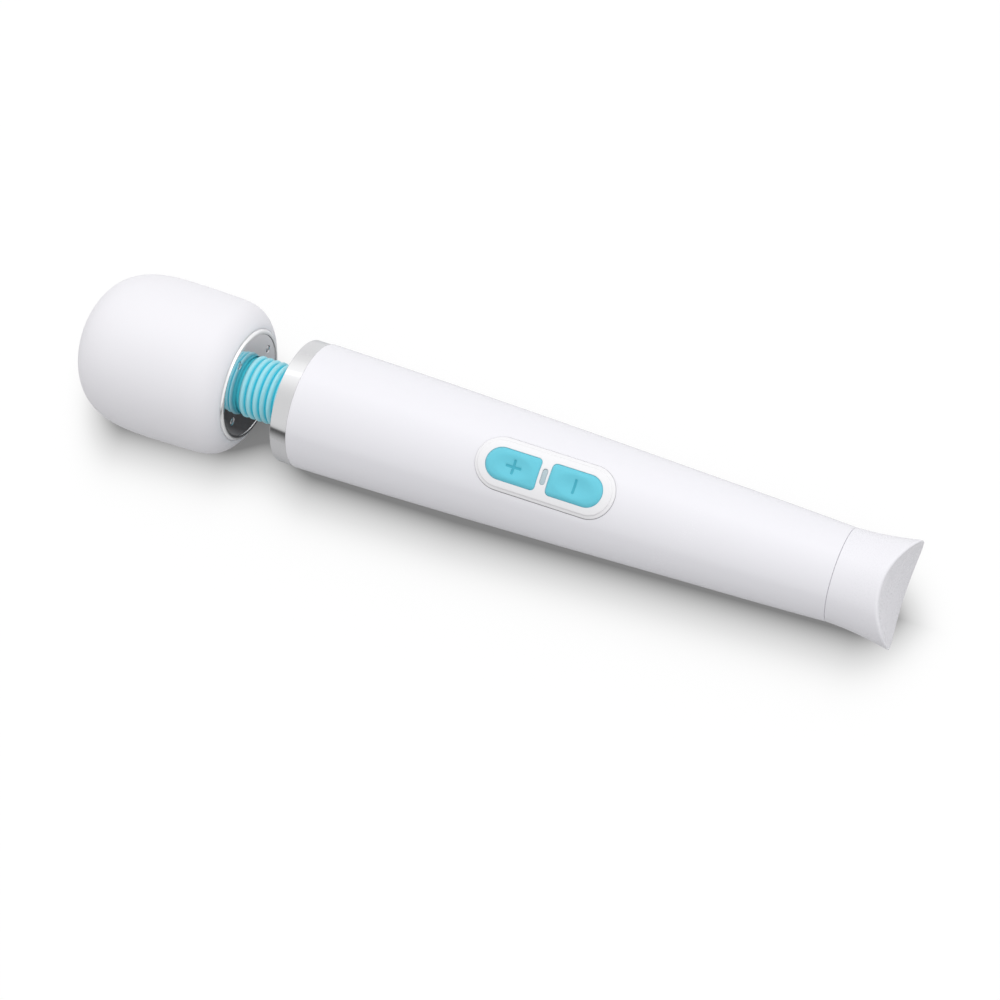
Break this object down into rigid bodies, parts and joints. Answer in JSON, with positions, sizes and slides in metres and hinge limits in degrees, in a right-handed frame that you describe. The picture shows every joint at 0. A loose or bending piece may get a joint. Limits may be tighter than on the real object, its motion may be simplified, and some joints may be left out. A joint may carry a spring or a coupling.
{
  "type": "handheld wand massager",
  "caption": "Cordless wand massager: soft round head on a flexible ribbed neck, tapered round handle with a two-key panel and a flared tail.",
  "frame": {"origin": "middle of the bounding box, on the long axis", "axes": "+X along the wand from head to tail, +Z the normal of the control panel, +Y to the side"},
  "size_m": [0.34, 0.0632, 0.0632],
  "materials": {
    "white_shell": "glossy moulded plastic",
    "white_silicone": "matte silicone",
    "teal_silicone": "satin silicone",
    "teal_key": "satin, darker engraved glyph",
    "chrome_trim": "polished",
    "polished_steel": "polished dark steel",
    "screw_steel": "plated",
    "grey_carrier": "moulded",
    "black_plastic": "moulded",
    "black_rubber": "O-ring",
    "magnet": "ferrite",
    "motor_steel": "drawn steel",
    "winding": "enamelled copper and iron",
    "brass": "turned",
    "board_green": "laminate",
    "cell_wrap": "shrink wrap",
    "indicator": "translucent grey-blue"
  },
  "bodies": {
    "handle": {"battery_cell_1": "cell_wrap", "battery_cell_2": "cell_wrap", "battery_link": "screw_steel", "board_screw_1": "screw_steel", "board_screw_2": "screw_steel", "charge_jack": "black_plastic", "chassis_lower": "grey_carrier", "chassis_screw_1": "screw_steel", "chassis_screw_2": "screw_steel", "chassis_screw_3": "screw_steel", "chassis_screw_4": "screw_steel", "chassis_upper": "grey_carrier", "collar_ring": "chrome_trim", "control_board": "board_green", "handle_shell": "white_shell", "led": "indicator", "led_window": "indicator", "motor_can": "motor_steel", "motor_end_cap": "black_plastic", "motor_magnet_1": "magnet", "motor_magnet_2": "magnet", "motor_mount": "grey_carrier", "motor_screw_1": "screw_steel", "motor_screw_2": "screw_steel", "panel_frame": "white_shell", "switch_minus": "black_plastic", "switch_plus": "black_plastic", "tail_cap": "white_shell", "tail_seal": "black_rubber"},
    "rotor": {"motor_rotor": "winding", "drive_hub": "brass"},
    "neck": {"neck_bellows": "teal_silicone"},
    "flex_drive": {"drive_spring": "motor_steel"},
    "head": {"head_cushion": "white_silicone", "head_housing": "grey_carrier", "head_bezel": "chrome_trim", "head_back_plate": "polished_steel", "back_plate_screw_1": "screw_steel", "back_plate_screw_2": "screw_steel", "back_plate_screw_3": "screw_steel", "back_plate_screw_4": "screw_steel", "head_bearing_plate": "grey_carrier", "bearing_rear": "motor_steel", "bearing_front": "motor_steel"},
    "eccentric": {"eccentric_shaft": "motor_steel", "eccentric_weight": "brass"},
    "key_plus": {"button_plus": "teal_key"},
    "key_minus": {"button_minus": "teal_key"},
    "contact_plus": {"plunger_plus": "screw_steel"},
    "contact_minus": {"plunger_minus": "screw_steel"}
  },
  "joints": [
    {"name": "neck_yaw", "type": "hinge", "parent": "handle", "child": "neck", "pos_m": [-0.082, 0, 0], "axis": [0, 0, 1], "range_deg": [-20, 20], "stiffness_Nm_per_rad": 1.5, "deforming": ["neck_bellows", "drive_spring"]},
    {"name": "neck_pitch", "type": "hinge", "parent": "neck", "child": "head", "pos_m": [-0.092, 0, 0], "axis": [0, 1, 0], "range_deg": [-20, 20], "stiffness_Nm_per_rad": 1.5, "deforming": ["neck_bellows", "drive_spring"]},
    {"name": "motor_spin", "type": "hinge", "parent": "handle", "child": "rotor", "pos_m": [-0.046, 0, 0], "axis": [1, 0, 0], "continuous": true},
    {"name": "drive_spring_spin", "type": "hinge", "parent": "neck", "child": "flex_drive", "pos_m": [-0.087, 0, 0], "axis": [1, 0, 0], "continuous": true},
    {"name": "eccentric_spin", "type": "hinge", "parent": "head", "child": "eccentric", "pos_m": [-0.128, 0, 0], "axis": [1, 0, 0], "continuous": true},
    {"name": "press_plus", "type": "slide", "parent": "handle", "child": "key_plus", "axis": [0, 0, -1], "range_m": [0, 0.0008], "stiffness_N_per_m": 1500},
    {"name": "press_minus", "type": "slide", "parent": "handle", "child": "key_minus", "axis": [0, 0, -1], "range_m": [0, 0.0008], "stiffness_N_per_m": 1500},
    {"name": "contact_plus_press", "type": "slide", "parent": "handle", "child": "contact_plus", "axis": [0, 0, -1], "range_m": [0, 0.0008]},
    {"name": "contact_minus_press", "type": "slide", "parent": "handle", "child": "contact_minus", "axis": [0, 0, -1], "range_m": [0, 0.0008]}
  ],
  "couplings": [
    {"joint": "drive_spring_spin", "follows": "motor_spin", "ratio": 1},
    {"joint": "eccentric_spin", "follows": "motor_spin", "ratio": 1},
    {"joint": "contact_plus_press", "follows": "press_plus", "ratio": 1},
    {"joint": "contact_minus_press", "follows": "press_minus", "ratio": 1}
  ]
}
